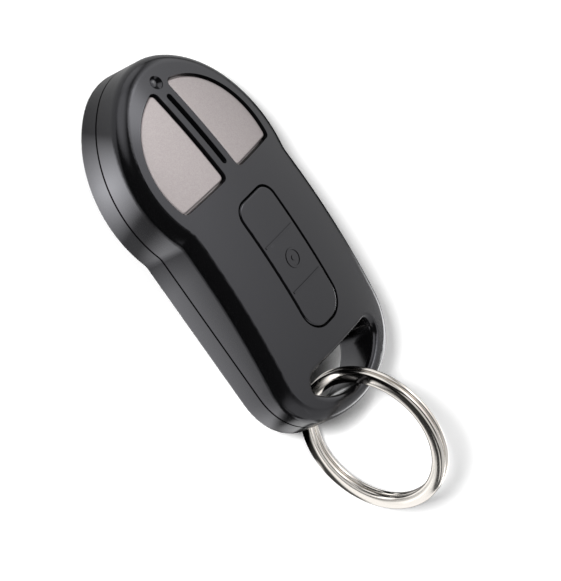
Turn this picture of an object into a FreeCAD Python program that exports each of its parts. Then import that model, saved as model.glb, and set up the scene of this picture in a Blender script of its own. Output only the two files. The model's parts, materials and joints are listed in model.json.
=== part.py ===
import FreeCAD, Part

# Key fob transmitter: a two-shell housing with three keys, its electronics and a split key ring.
# Millimetres. Origin at the centre of the flat back, +X to the right of the face, +Y towards the head,
# +Z out of the face.

import math
import os
import re

import Sketcher
from FreeCAD import Placement, Rotation, Vector

doc = FreeCAD.newDocument("key_fob")

# Driving dimensions

SIZES = [
    # Plan of the housing
    ("housing_length", 69.0),
    ("nose_radius", 14.5),
    ("flank_radius", 20.75),
    ("head_half_width", 17.8),
    ("neck_radius", 3.0),
    ("flare_angle", 0.85),
    ("waist_step", 1.15),
    ("end_corner_radius", 10.9),
    ("end_radius", 26.0),
    # Crowned face
    ("face_height", 13.9),
    ("crown_place", 3.2),
    ("length_crown_radius", 136.6),
    ("width_crown_radius", 62.0),
    ("shoulder_radius", 2.75),
    # Shells
    ("split_height", 4.1),
    ("reveal_height", 0.36),
    ("reveal_depth", 0.35),
    ("back_edge_radius", 0.6),
    ("wall", 1.5),
    ("roof", 1.5),
    ("floor_thickness", 1.3),
    ("lip_thickness", 0.8),
    ("lip_height", 1.1),
    ("shell_gap", 0.05),
    # Keyring hole
    ("hole_chord_place", -24.15),
    ("hole_apex_place", -31.5),
    ("hole_arc_radius", 13.7),
    ("hole_corner_radius", 2.1),
    ("hole_edge_radius", 1.0),
    ("hole_wall", 1.5),
    # Silver keys
    ("head_keys_arc_place", 15.3),
    ("head_keys_arc_radius", 13.95),
    ("head_keys_inner_edge", 2.15),
    ("head_keys_lower_edge", 10.8),
    ("head_keys_corner_radius", 0.8),
    ("head_keys_recess", 0.45),
    # Centre key
    ("centre_key_half_width", 4.95),
    ("centre_key_top", 5.75),
    ("centre_key_bottom", -19.45),
    ("centre_key_top_radius", 2.6),
    ("centre_key_bottom_radius", 4.1),
    # Fit and travel of all keys
    ("key_gap", 0.35),
    ("key_edge_radius", 0.35),
    ("flange_reach", 0.85),
    ("flange_play", 0.05),
    ("flange_bottom", 9.3),
    ("plunger_radius", 1.3),
    # Raised marks on the centre key
    ("mark_height", 0.12),
    ("line_width", 0.3),
    ("line_half_length", 4.2),
    ("upper_line_place", -2.65),
    ("lower_line_place", -11.6),
    ("ring_mark_place", -7.1),
    ("ring_mark_radius", 1.75),
    ("ring_mark_width", 0.35),
    ("dot_mark_radius", 0.45),
    # Slot between the silver keys
    ("slot_width", 1.15),
    ("slot_depth", 0.9),
    ("slot_top", 27.45),
    ("slot_bottom", 12.55),
    # Indicator light
    ("light_step", 0.9),
    ("recess_radius", 1.35),
    ("recess_depth", 0.7),
    ("lens_radius", 0.72),
    ("lens_flange_radius", 1.0),
    ("lens_flange_thickness", 0.5),
    ("lens_gap", 0.03),
    ("lens_flange_drop", 0.4),
    ("light_chip_width", 1.6),
    ("light_chip_depth", 0.8),
    ("light_chip_height", 0.7),
    # Circuit board
    ("board_height", 5.4),
    ("board_thickness", 0.8),
    ("board_gap", 0.3),
    ("post_radius", 1.2),
    # Switches
    ("head_switch_side", 7.0),
    ("head_switch_place", 18.0),
    ("centre_switch_place", -7.1),
    ("switch_width", 4.5),
    ("switch_base_height", 1.9),
    ("switch_sheet", 0.2),
    ("switch_sheet_drop", 1.6),
    ("well_radius", 1.7),
    ("well_floor", 0.5),
    ("dome_foot_radius", 1.5),
    ("dome_top_radius", 0.6),
    ("dome_height", 0.55),
    ("dome_sheet", 0.12),
    ("stem_radius", 1.1),
    ("stem_collar_radius", 1.45),
    ("stem_collar_height", 0.4),
    ("stem_gap", 0.05),
    ("stem_height", 1.75),
    # Coin cell
    ("cell_place", -9.5),
    ("cell_radius", 10.0),
    ("cell_height", 3.2),
    ("cell_sheet", 0.3),
    ("cell_cap_radius", 8.9),
    ("cell_bottom", 1.65),
    # Contacts
    ("contact_sheet", 0.25),
    ("clip_width", 5.0),
    ("clip_gap", 0.15),
    ("contact_radius", 3.2),
    ("contact_dimple_radius", 1.6),
    # Cover screws
    ("screw_inset", 4.85),
    ("screw_place", 5.2),
    ("screw_radius", 1.0),
    ("screw_length", 7.6),
    ("screw_head_radius", 1.9),
    ("screw_head_height", 1.1),
    ("screw_sink", 0.1),
    ("screw_gap", 0.08),
    ("screw_slot_width", 0.4),
    ("boss_radius", 2.2),
    # Small parts on the board
    ("chip_inset", 7.45),
    ("chip_place", -2.0),
    ("chip_width", 4.4),
    ("chip_height", 1.1),
    ("crystal_width", 3.2),
    ("crystal_depth", 2.5),
    ("crystal_height", 0.8),
    ("small_parts_place", 1.5),
    ("small_part_pitch", 2.2),
    ("small_part_width", 1.0),
    ("small_part_depth", 0.5),
    ("small_part_height", 0.45),
    ("loop_width", 24.0),
    ("loop_depth", 6.0),
    ("loop_thickness", 0.15),
    ("loop_track", 1.0),
    ("loop_place", -17.0),
    # Board posts
    ("post_upper_inset", 7.3),
    ("post_upper_place", 24.0),
    ("post_lower_inset", 4.35),
    ("post_middle_place", 0.5),
    ("post_lower_place", -18.5),
    # Split key ring
    ("ring_outer_radius", 14.0),
    ("ring_wire_width", 2.4),
    ("ring_wire_thickness", 0.9),
    ("ring_wire_rounding", 0.35),
    ("ring_turn_gap", 0.44),
    ("ring_joggle_angle", 28.0),
    ("ring_play", 1.25),
    ("ring_height", 3.95),
    ("ring_end_angle", 298.0),
    # How far cutting forms pass the solid that they cut
    ("cut_margin", 6.0),
    ("crown_sweep", 44.0),
]

sizes = doc.addObject("Spreadsheet::Sheet", "Sizes")
for row, (alias, value) in enumerate(SIZES, start=1):
    cell = "B%d" % row
    sizes.set("A%d" % row, alias)
    sizes.set(cell, "%g" % value)
    sizes.setAlias(cell, alias)

# Sizes that follow from the driving ones

FOLLOWING = [
    ("half_length", "=housing_length / 2"),
    ("end_half_width", "=head_half_width - waist_step"),
    ("screw_side", "=end_half_width - screw_inset"),
    ("chip_side", "=end_half_width - chip_inset"),
    ("post_upper_side", "=head_half_width - post_upper_inset"),
    ("post_lower_side", "=end_half_width - post_lower_inset"),
    ("form_top", "=face_height + cut_margin / 2"),
    ("chamber_end", "=hole_chord_place + hole_wall"),
    ("lip_inset", "=wall + shell_gap"),
    ("rear_inset", "=wall + shell_gap + lip_thickness"),
    ("board_top", "=board_height + board_thickness"),
    ("board_inset", "=wall + board_gap"),
    ("switch_top", "=board_height + board_thickness + switch_base_height"),
    ("dome_base", "=board_height + board_thickness + well_floor"),
    ("stem_base", "=board_height + board_thickness + well_floor + dome_height + stem_gap"),
    ("stem_top", "=board_height + board_thickness + well_floor + dome_height + stem_gap + stem_height"),
    ("clip_base", "=cell_bottom - contact_sheet - shell_gap"),
    ("ring_inner_radius", "=ring_outer_radius - ring_wire_width"),
    ("ring_place", "=hole_apex_place + ring_play - ring_outer_radius + ring_wire_width"),
    ("light_place", "=head_keys_arc_place + head_keys_arc_radius + light_step"),
    ("light_face", "=face_height - length_crown_radius"
                   " + sqrt(length_crown_radius ^ 2 - (light_place - crown_place) ^ 2)"),
    ("lens_base", "=board_height + board_thickness + light_chip_height + lens_gap"),
    ("slot_end_radius", "=slot_width / 2"),
]

for row, (alias, formula) in enumerate(FOLLOWING, start=len(SIZES) + 2):
    cell = "B%d" % row
    sizes.set("A%d" % row, alias)
    sizes.set(cell, formula)
    sizes.setAlias(cell, alias)

doc.recompute()


def size(alias):
    """The present value of one cell of the sheet."""
    return float(sizes.get(alias))


NAMES = {alias for alias, _ in SIZES + FOLLOWING}
RING_END_TRIM = 2.0
RING_GAP_POINTS = 480


def sheet(text):
    """The text as an expression that reads each size from the sheet."""
    return re.sub(r"[a-z_]+", lambda word: "Sizes." + word[0] if word[0] in NAMES else word[0], text)


def bind(thing, expressions):
    """Tie properties of an object to the sheet."""
    for name, text in expressions.items():
        thing.setExpression(name, sheet(text))


def put(thing, x, y, z):
    """Tie the place of an object to the sheet."""
    bind(thing, {"Placement.Base.x": x, "Placement.Base.y": y, "Placement.Base.z": z})
    return thing


# Simple solids


def box(name, width, depth, height, x, y, z):
    """A box centred on x and y that stands on z."""
    item = doc.addObject("Part::Box", name)
    bind(item, {"Length": width, "Width": depth, "Height": height})
    return put(item, "%s - (%s) / 2" % (x, width), "%s - (%s) / 2" % (y, depth), z)


def cylinder(name, radius, height, x, y, z):
    """A cylinder that stands on z."""
    item = doc.addObject("Part::Cylinder", name)
    bind(item, {"Radius": radius, "Height": height})
    return put(item, x, y, z)


def cone(name, low_radius, high_radius, height, x, y, z):
    """A cone that stands on z."""
    item = doc.addObject("Part::Cone", name)
    bind(item, {"Radius1": low_radius, "Radius2": high_radius, "Height": height})
    return put(item, x, y, z)


def joined(name, pieces):
    """One solid from several that touch."""
    item = doc.addObject("Part::MultiFuse", name)
    item.Shapes = pieces
    return item


def cut(name, base, tool):
    """A solid less another."""
    item = doc.addObject("Part::Cut", name)
    item.Base = base
    item.Tool = tool
    return item


# Sketches and the features made from them


def new_body(name):
    return doc.addObject("PartDesign::Body", name)


def new_sketch(body, name, role="XY_Plane"):
    """A sketch on one of the body's own planes."""
    sketch = body.newObject("Sketcher::SketchObject", name)
    plane = next(item for item in body.Origin.OriginFeatures if item.Role == role)
    sketch.AttachmentSupport = [(plane, "")]
    sketch.MapMode = "FlatFace"
    return sketch


def hold_x(sketch, part, point, text):
    """Set how far right of the sketch's origin a point lies."""
    place = sketch.getPoint(part, point).x
    index = sketch.addConstraint(Sketcher.Constraint("DistanceX", -1, 1, part, point, place))
    sketch.setExpression("Constraints[%d]" % index, sheet(text))


def hold_y(sketch, part, point, text):
    """Set how far above the sketch's origin a point lies."""
    place = sketch.getPoint(part, point).y
    index = sketch.addConstraint(Sketcher.Constraint("DistanceY", -1, 1, part, point, place))
    sketch.setExpression("Constraints[%d]" % index, sheet(text))


def hold_radius(sketch, part, text):
    """Set the radius of an arc or circle."""
    radius = sketch.Geometry[part].Radius
    index = sketch.addConstraint(Sketcher.Constraint("Radius", part, radius))
    sketch.setExpression("Constraints[%d]" % index, sheet(text))


def arc(centre, radius, start, end):
    """An arc from one direction to another, both in degrees, turning left."""
    circle = Part.Circle(Vector(centre[0], centre[1], 0), Vector(0, 0, 1), radius)
    return Part.ArcOfCircle(circle, math.radians(start), math.radians(end))


def line(start, end):
    return Part.LineSegment(Vector(start[0], start[1], 0), Vector(end[0], end[1], 0))


def direction(start, end):
    """The direction from one point to another, in degrees."""
    return math.degrees(math.atan2(end[1] - start[1], end[0] - start[0]))


def tangent(sketch, first, first_point, second, second_point):
    sketch.addConstraint(Sketcher.Constraint("Tangent", first, first_point, second, second_point))


def together(sketch, first, first_point, second, second_point):
    sketch.addConstraint(Sketcher.Constraint("Coincident", first, first_point, second, second_point))


def pad(body, sketch, height, length):
    """Raise a sketch from a height."""
    sketch.setExpression("AttachmentOffset.Base.z", sheet(height))
    feature = body.newObject("PartDesign::Pad", sketch.Name + "_pad")
    feature.Profile = sketch
    feature.setExpression("Length", sheet(length))
    return feature


def through_pocket(body, sketch):
    """Cut a sketch through the whole body, both ways."""
    feature = body.newObject("PartDesign::Pocket", sketch.Name + "_pocket")
    feature.Profile = sketch
    feature.Type = 1
    feature.Midplane = True
    return feature


def edges_where(shape, test):
    return ["Edge%d" % number for number, edge in enumerate(shape.Edges, 1) if test(edge)]


def fillet(body, name, edges, radius):
    """Round some edges of the body as it is so far."""
    before = body.Tip
    feature = body.newObject("PartDesign::Fillet", name)
    feature.Base = (before, edges)
    feature.setExpression("Radius", sheet(radius))
    return feature


def is_upright(edge):
    """True for a straight edge along Z."""
    start, end = edge.Vertexes[0].Point, edge.Vertexes[-1].Point
    return abs(start.x - end.x) < 1e-4 and abs(start.y - end.y) < 1e-4 and edge.Length > 0.1


def crown_rim(shape):
    """The outer edges of the crowned face."""
    crowned = [face for face in shape.Faces if face.Surface.TypeId == "Part::GeomToroid"]
    face = max(crowned, key=lambda item: item.Area)
    rim = face.OuterWire.Edges
    return edges_where(shape, lambda edge: any(edge.isSame(other) for other in rim))


# Plan outlines


def housing_outline(body, name, inset):
    """The plan of the housing, drawn in by a size: nose, flanks, necks, flared sides and rounded end."""
    step = size(inset) if inset else 0.0
    inset = inset or "0"
    flare = math.radians(size("flare_angle"))
    nose = (0, size("half_length") - size("nose_radius"))
    flank_x = size("flank_radius") - size("head_half_width")
    spread = size("flank_radius") - size("nose_radius")
    flank = (flank_x, nose[1] - math.sqrt(spread**2 - flank_x**2))
    end = (0, size("end_radius") - size("half_length"))
    corner_x = size("end_corner_radius") - size("end_half_width")
    spread = size("end_radius") - size("end_corner_radius")
    corner = (corner_x, end[1] - math.sqrt(spread**2 - corner_x**2))
    corner_radius = size("end_corner_radius") - step
    outward = (-math.cos(flare), math.sin(flare))
    foot = (corner[0] + corner_radius * outward[0], corner[1] + corner_radius * outward[1])
    neck_radius = size("neck_radius") + step
    reach = size("flank_radius") - step + neck_radius
    start_x = foot[0] + neck_radius * outward[0] - flank[0]
    start_y = foot[1] + neck_radius * outward[1] - flank[1]
    along = start_x * math.sin(flare) + start_y * math.cos(flare)
    run = -along - math.sqrt(along**2 - start_x**2 - start_y**2 + reach**2)
    top = (foot[0] + run * math.sin(flare), foot[1] + run * math.cos(flare))
    neck = (top[0] + neck_radius * outward[0], top[1] + neck_radius * outward[1])
    nose_turn = direction(flank, nose)
    neck_turn = direction(neck, flank)
    end_turn = direction(end, corner) + 360
    tilt = size("flare_angle")

    def mirrored(point):
        return (-point[0], point[1])

    sketch = new_sketch(body, name)
    sketch.addGeometry([
        arc(nose, size("nose_radius") - step, 180 - nose_turn, nose_turn),
        arc(flank, size("flank_radius") - step, nose_turn, 180 + neck_turn),
        arc(neck, neck_radius, -tilt, neck_turn),
        line(top, foot),
        arc(corner, corner_radius, 180 - tilt, end_turn),
        arc(end, size("end_radius") - step, end_turn, 540 - end_turn),
        arc(mirrored(corner), corner_radius, 180 - end_turn, tilt),
        line(mirrored(foot), mirrored(top)),
        arc(mirrored(neck), neck_radius, 180 - neck_turn, 180 + tilt),
        arc(mirrored(flank), size("flank_radius") - step, -neck_turn, 180 - nose_turn),
    ])
    joints = [(0, 2, 1, 1), (1, 2, 2, 2), (2, 1, 3, 1), (3, 2, 4, 1), (4, 2, 5, 1)]
    joints += [(5, 2, 6, 1), (6, 2, 7, 1), (7, 2, 8, 2), (8, 1, 9, 1), (9, 2, 0, 1)]
    for joint in joints:
        tangent(sketch, *joint)
    sketch.addConstraint(Sketcher.Constraint("PointOnObject", 0, 3, -2))
    hold_y(sketch, 0, 3, "half_length - nose_radius")
    hold_radius(sketch, 0, "nose_radius - " + inset)
    sketch.addConstraint(Sketcher.Constraint("PointOnObject", 5, 3, -2))
    hold_y(sketch, 5, 3, "end_radius - half_length")
    hold_radius(sketch, 5, "end_radius - " + inset)
    for flank_arc, neck_arc, corner_arc, corner_point, sign in ((1, 2, 4, 1, ""), (9, 8, 6, 2, "-")):
        hold_x(sketch, flank_arc, 3, sign + "(flank_radius - head_half_width)")
        hold_radius(sketch, flank_arc, "flank_radius - " + inset)
        hold_radius(sketch, neck_arc, "neck_radius + " + inset)
        hold_x(sketch, corner_arc, 3, sign + "(end_corner_radius - end_half_width)")
        hold_radius(sketch, corner_arc, "end_corner_radius - " + inset)
        rise = corner_radius * math.sin(flare)
        index = sketch.addConstraint(
            Sketcher.Constraint("DistanceY", corner_arc, 3, corner_arc, corner_point, rise))
        text = "(end_corner_radius - %s) * sin(flare_angle * 1 deg)" % inset
        sketch.setExpression("Constraints[%d]" % index, sheet(text))
    return sketch


def rectangle(body, name, left, right, low, high, role="XY_Plane"):
    """A rectangle between four places."""
    sketch = new_sketch(body, name, role)
    corners = [(-1, -1), (1, -1), (1, 1), (-1, 1)]
    sketch.addGeometry([line(corners[side], corners[(side + 1) % 4]) for side in range(4)])
    for side in range(4):
        together(sketch, side, 2, (side + 1) % 4, 1)
        kind = "Horizontal" if side % 2 == 0 else "Vertical"
        sketch.addConstraint(Sketcher.Constraint(kind, side))
    hold_x(sketch, 0, 1, left)
    hold_y(sketch, 0, 1, low)
    hold_x(sketch, 2, 1, right)
    hold_y(sketch, 2, 1, high)
    return sketch


def circle(sketch, radius, height):
    """A circle on the sketch's upright axis."""
    index = sketch.addGeometry(Part.Circle(Vector(0, 5, 0), Vector(0, 0, 1), 1))
    sketch.addConstraint(Sketcher.Constraint("PointOnObject", index, 3, -2))
    hold_y(sketch, index, 3, height)
    hold_radius(sketch, index, radius)


def crown_cut(body, name, lift):
    """Cut the body off along the crowned face, or along a face that lies higher than it by lift."""
    wide, long = size("width_crown_radius"), size("length_crown_radius")
    reach = size("head_half_width") + size("cut_margin")
    centre = (0, long - wide)
    radius = wide
    side = math.degrees(math.acos(reach / radius))
    edge = (reach, centre[1] + math.sqrt(radius**2 - reach**2))
    top = long + 2 * size("cut_margin")
    sketch = new_sketch(body, name, "XZ_Plane")
    bind(sketch, {
        "AttachmentOffset.Base.y": "face_height - length_crown_radius",
        "AttachmentOffset.Base.z": "-crown_place",
    })
    sketch.addGeometry([
        arc(centre, radius, side, 180 - side),
        line((-edge[0], edge[1]), (-reach, top)),
        line((-reach, top), (reach, top)),
        line((reach, top), edge),
    ])
    together(sketch, 0, 2, 1, 1)
    together(sketch, 1, 2, 2, 1)
    together(sketch, 2, 2, 3, 1)
    together(sketch, 3, 2, 0, 1)
    sketch.addConstraint(Sketcher.Constraint("Vertical", 1))
    sketch.addConstraint(Sketcher.Constraint("Vertical", 3))
    sketch.addConstraint(Sketcher.Constraint("PointOnObject", 0, 3, -2))
    hold_y(sketch, 0, 3, "length_crown_radius - width_crown_radius")
    hold_radius(sketch, 0, "width_crown_radius + " + lift)
    hold_x(sketch, 2, 1, "-(head_half_width + cut_margin)")
    hold_x(sketch, 2, 2, "head_half_width + cut_margin")
    sketch.addConstraint(Sketcher.Constraint("Horizontal", 2))
    hold_y(sketch, 2, 1, "length_crown_radius + 2 * cut_margin")
    feature = body.newObject("PartDesign::Groove", name + "_groove")
    feature.Profile = sketch
    feature.ReferenceAxis = (sketch, ["H_Axis"])
    feature.setExpression("Angle", sheet("crown_sweep"))
    feature.Midplane = True
    return feature


def hole_outline(body, name):
    """The keyring hole: a straight chord, two corners and a wide arc."""
    corner_radius = size("hole_corner_radius")
    centre = (0, size("hole_apex_place") + size("hole_arc_radius"))
    corner_y = size("hole_chord_place") - corner_radius
    spread = size("hole_arc_radius") - corner_radius
    corner = (math.sqrt(spread**2 - (centre[1] - corner_y)**2), corner_y)
    turn = direction(centre, corner)
    chord = size("hole_chord_place")
    sketch = new_sketch(body, name)
    sketch.addGeometry([
        line((corner[0], chord), (-corner[0], chord)),
        arc((-corner[0], corner_y), corner_radius, 90, 180 - turn),
        arc(centre, size("hole_arc_radius"), 180 - turn, 360 + turn),
        arc(corner, corner_radius, turn, 90),
    ])
    for joint in ((0, 2, 1, 1), (1, 2, 2, 1), (2, 2, 3, 1), (3, 2, 0, 1)):
        tangent(sketch, *joint)
    sketch.addConstraint(Sketcher.Constraint("Horizontal", 0))
    sketch.addConstraint(Sketcher.Constraint("PointOnObject", 2, 3, -2))
    hold_y(sketch, 0, 1, "hole_chord_place")
    hold_y(sketch, 2, 3, "hole_apex_place + hole_arc_radius")
    hold_radius(sketch, 1, "hole_corner_radius")
    hold_radius(sketch, 2, "hole_arc_radius")
    hold_radius(sketch, 3, "hole_corner_radius")
    return sketch


def quarter_outline(body, name, side, grow):
    """The plan of a silver key, grown by a size: inner edge, lower edge and a wide arc."""
    sign = "-" if side < 0 else ""
    radius = size("head_keys_arc_radius")
    low = size("head_keys_lower_edge")
    inner = size("head_keys_inner_edge")
    centre = (0, size("head_keys_arc_place"))
    outer = math.sqrt(radius**2 - (centre[1] - low)**2)
    top = centre[1] + math.sqrt(radius**2 - inner**2)
    low_turn = direction(centre, (outer, low))
    top_turn = direction(centre, (inner, top))
    sketch = new_sketch(body, name)
    if side > 0:
        sketch.addGeometry([
            line((inner, top), (inner, low)),
            line((inner, low), (outer, low)),
            arc(centre, radius, low_turn, top_turn),
        ])
        ends = ((2, 1), (2, 2))
    else:
        sketch.addGeometry([
            line((-inner, top), (-inner, low)),
            line((-inner, low), (-outer, low)),
            arc(centre, radius, 180 - top_turn, 180 - low_turn),
        ])
        ends = ((2, 2), (2, 1))
    together(sketch, 0, 2, 1, 1)
    together(sketch, 1, 2, *ends[0])
    together(sketch, 0, 1, *ends[1])
    sketch.addConstraint(Sketcher.Constraint("Vertical", 0))
    sketch.addConstraint(Sketcher.Constraint("Horizontal", 1))
    sketch.addConstraint(Sketcher.Constraint("PointOnObject", 2, 3, -2))
    hold_y(sketch, 2, 3, "head_keys_arc_place")
    hold_radius(sketch, 2, "head_keys_arc_radius + " + grow)
    hold_x(sketch, 0, 2, "%s(head_keys_inner_edge - (%s))" % (sign, grow))
    hold_y(sketch, 0, 2, "head_keys_lower_edge - (%s)" % grow)
    return sketch


def long_outline(body, name, grow):
    """The plan of the centre key, grown by a size: a rectangle with rounder lower corners."""
    half, high, low = size("centre_key_half_width"), size("centre_key_top"), size("centre_key_bottom")
    small, large = size("centre_key_top_radius"), size("centre_key_bottom_radius")
    sketch = new_sketch(body, name)
    sketch.addGeometry([
        line((half - small, high), (small - half, high)),
        arc((small - half, high - small), small, 90, 180),
        line((-half, high - small), (-half, low + large)),
        arc((large - half, low + large), large, 180, 270),
        line((large - half, low), (half - large, low)),
        arc((half - large, low + large), large, 270, 360),
        line((half, low + large), (half, high - small)),
        arc((half - small, high - small), small, 0, 90),
    ])
    for first in range(8):
        tangent(sketch, first, 2, (first + 1) % 8, 1)
    sketch.addConstraint(Sketcher.Constraint("Horizontal", 0))
    sketch.addConstraint(Sketcher.Constraint("Vertical", 2))
    hold_y(sketch, 0, 1, "centre_key_top + " + grow)
    hold_y(sketch, 4, 1, "centre_key_bottom - (%s)" % grow)
    hold_x(sketch, 2, 1, "-(centre_key_half_width + %s)" % grow)
    hold_x(sketch, 6, 1, "centre_key_half_width + " + grow)
    hold_radius(sketch, 1, "centre_key_top_radius + " + grow)
    hold_radius(sketch, 3, "centre_key_bottom_radius + " + grow)
    hold_radius(sketch, 5, "centre_key_bottom_radius + " + grow)
    hold_radius(sketch, 7, "centre_key_top_radius + " + grow)
    return sketch


def slot_outline(body, name):
    """The slot between the silver keys, with round ends."""
    half = size("slot_end_radius")
    high, low = size("slot_top") - half, size("slot_bottom") + half
    sketch = new_sketch(body, name)
    sketch.addGeometry([
        arc((0, high), half, 0, 180),
        line((-half, high), (-half, low)),
        arc((0, low), half, 180, 360),
        line((half, low), (half, high)),
    ])
    for first in range(4):
        tangent(sketch, first, 2, (first + 1) % 4, 1)
    sketch.addConstraint(Sketcher.Constraint("PointOnObject", 0, 3, -2))
    sketch.addConstraint(Sketcher.Constraint("PointOnObject", 2, 3, -2))
    hold_y(sketch, 0, 3, "slot_top - slot_end_radius")
    hold_y(sketch, 2, 3, "slot_bottom + slot_end_radius")
    hold_radius(sketch, 0, "slot_end_radius")
    return sketch


# Rear cover

SIDES = (("left", -1, "-"), ("right", 1, ""))
POSTS = (
    ("upper", "post_upper_side", "post_upper_place"),
    ("middle", "post_lower_side", "post_middle_place"),
    ("lower", "post_lower_side", "post_lower_place"),
)


def plan_pad(name, inset, height, length):
    """A body with the plan of the housing."""
    body = new_body(name)
    pad(body, housing_outline(body, name + "_plan", inset), height, length)
    return body


def without_end(body, end):
    """Take away the end of a form, beyond the wall of the keyring hole."""
    sketch = rectangle(body, body.Name + "_end", "-(head_half_width + cut_margin)",
                       "head_half_width + cut_margin", "-(half_length + cut_margin)", end)
    through_pocket(body, sketch)


def keyring_hole(body):
    sketch = hole_outline(body, body.Name + "_hole")
    through_pocket(body, sketch)


def rear_cover():
    form = plan_pad("rear_form", None, "0", "split_height")
    doc.recompute()
    rim = edges_where(form.Shape, lambda edge: edge.BoundBox.ZMax < 1e-4)
    fillet(form, "rear_edge", rim, "back_edge_radius")
    keyring_hole(form)
    doc.recompute()
    low = edges_where(form.Shape, lambda edge: edge.BoundBox.ZMax < 1e-4 and in_hole(edge))
    fillet(form, "rear_hole_edge", low, "hole_edge_radius")
    lip = plan_pad("rear_lip", "lip_inset", "floor_thickness",
                   "split_height + lip_height - floor_thickness")
    without_end(lip, "chamber_end + shell_gap")
    chamber = plan_pad("rear_chamber", "rear_inset", "floor_thickness", "split_height + cut_margin")
    without_end(chamber, "chamber_end + shell_gap + lip_thickness")
    shell = cut("rear_shell", joined("rear_solid", [form, lip]), chamber)
    pieces = [shell]
    for side_name, _, sign in SIDES:
        pieces.append(cylinder("rear_boss_" + side_name, "boss_radius", "split_height",
                               sign + "screw_side", "screw_place", "0"))
        for post_name, side, place in POSTS:
            pieces.append(cylinder("post_%s_%s" % (post_name, side_name), "post_radius", "board_height",
                                   sign + side, place, "0"))
    filled = joined("rear_filled", pieces)
    holes = []
    for side_name, _, sign in SIDES:
        holes.append(cylinder("rear_screw_hole_" + side_name, "screw_radius + screw_gap",
                              "split_height + cut_margin", sign + "screw_side", "screw_place",
                              "-cut_margin"))
        holes.append(cone("rear_sink_" + side_name, "screw_head_radius + screw_gap + screw_sink",
                          "screw_radius + screw_gap", "screw_head_height + screw_sink",
                          sign + "screw_side", "screw_place", "0"))
        holes.append(cylinder("lip_relief_" + side_name, "boss_radius + shell_gap", "cut_margin",
                              sign + "screw_side", "screw_place", "split_height"))
    return cut("rear_cover", filled, joined("rear_holes", holes))


def in_hole(edge):
    """True for an edge on the wall of the keyring hole."""
    spot = edge.valueAt((edge.FirstParameter + edge.LastParameter) / 2)
    inside = size("hole_apex_place") - 1e-3 < spot.y < size("hole_chord_place") + 1e-3
    return inside and abs(spot.x) < size("hole_arc_radius") * 0.75


# Front cover


def front_cover():
    form = new_body("front_form")
    pad(form, housing_outline(form, "front_reveal", "reveal_depth"), "split_height", "reveal_height")
    pad(form, housing_outline(form, "front_plan", None), "split_height + reveal_height",
        "face_height - split_height")
    crown_cut(form, "front_crown", "0")
    doc.recompute()
    fillet(form, "front_shoulder", crown_rim(form.Shape), "shoulder_radius")
    keyring_hole(form)
    doc.recompute()
    above = size("split_height") + 1
    high = edges_where(form.Shape, lambda edge: edge.BoundBox.ZMin > above and in_hole(edge)
                       and not is_upright(edge))
    fillet(form, "front_hole_edge", high, "hole_edge_radius")
    chamber = plan_pad("front_chamber", "wall", "split_height - cut_margin",
                       "form_top - split_height + cut_margin")
    crown_cut(chamber, "roof_crown", "-roof")
    without_end(chamber, "chamber_end")
    bosses = [cylinder("front_boss_" + side_name, "boss_radius", "face_height", sign + "screw_side",
                       "screw_place", "split_height") for side_name, _, sign in SIDES]
    shell = cut("front_shell", form, cut("front_space", chamber, joined("front_bosses", bosses)))
    openings = []
    for side_name, side, sign in SIDES:
        opening = new_body(side_name + "_opening")
        pad(opening, quarter_outline(opening, side_name + "_opening_plan", side, "key_gap"),
            "split_height", "face_height")
        doc.recompute()
        corners = edges_where(opening.Shape, is_upright)
        fillet(opening, side_name + "_opening_corners", corners, "head_keys_corner_radius + key_gap")
        openings.append(opening)
        openings.append(cylinder("front_screw_hole_" + side_name, "screw_radius + screw_gap",
                                 "screw_length + screw_sink + screw_gap - split_height",
                                 sign + "screw_side", "screw_place", "split_height"))
    opening = new_body("centre_opening")
    pad(opening, long_outline(opening, "centre_opening_plan", "key_gap"), "split_height", "face_height")
    openings.append(opening)
    slot = new_body("slot_column")
    pad(slot, slot_outline(slot, "slot_plan"), "split_height", "face_height")
    below = new_body("slot_below")
    pad(below, slot_outline(below, "slot_below_plan"), "0", "form_top")
    crown_cut(below, "slot_floor", "-slot_depth")
    openings.append(cut("slot", slot, below))
    openings.append(cone("light_recess", "lens_radius + lens_gap", "recess_radius", "recess_depth",
                         "0", "light_place", "light_face - recess_depth"))
    openings.append(cylinder("light_mouth", "recess_radius", "cut_margin",
                             "0", "light_place", "light_face"))
    openings.append(cylinder("light_bore", "lens_radius + lens_gap", "face_height",
                             "0", "light_place", "board_top"))
    return cut("front_cover", shell, joined("front_openings", openings))


# Keys


def key(name, outline, corners, lift, switch_x, switch_y, marks=None):
    """A key: a cap that follows the face, a flange below the roof and a plunger over the switch."""
    flange = new_body(name + "_flange")
    pad(flange, outline(flange, name + "_flange_plan", "flange_reach"), "flange_bottom",
        "form_top - flange_bottom")
    crown_cut(flange, name + "_flange_top", "-(roof + flange_play)")
    cap = new_body(name + "_cap")
    pad(cap, outline(cap, name + "_cap_plan", "0"), "flange_bottom", "form_top - flange_bottom")
    if corners:
        doc.recompute()
        fillet(cap, name + "_corners", edges_where(cap.Shape, is_upright), corners)
    crown_cut(cap, name + "_cap_top", lift)
    doc.recompute()
    fillet(cap, name + "_edge", crown_rim(cap.Shape), "key_edge_radius")
    if marks:
        pad(cap, marks(cap), "flange_bottom", "form_top - flange_bottom")
        crown_cut(cap, name + "_mark_top", "mark_height")
    plunger = cylinder(name + "_plunger", "plunger_radius", "flange_bottom + roof / 2 - stem_top",
                       switch_x, switch_y, "stem_top")
    return joined(name, [flange, cap, plunger])


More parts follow.
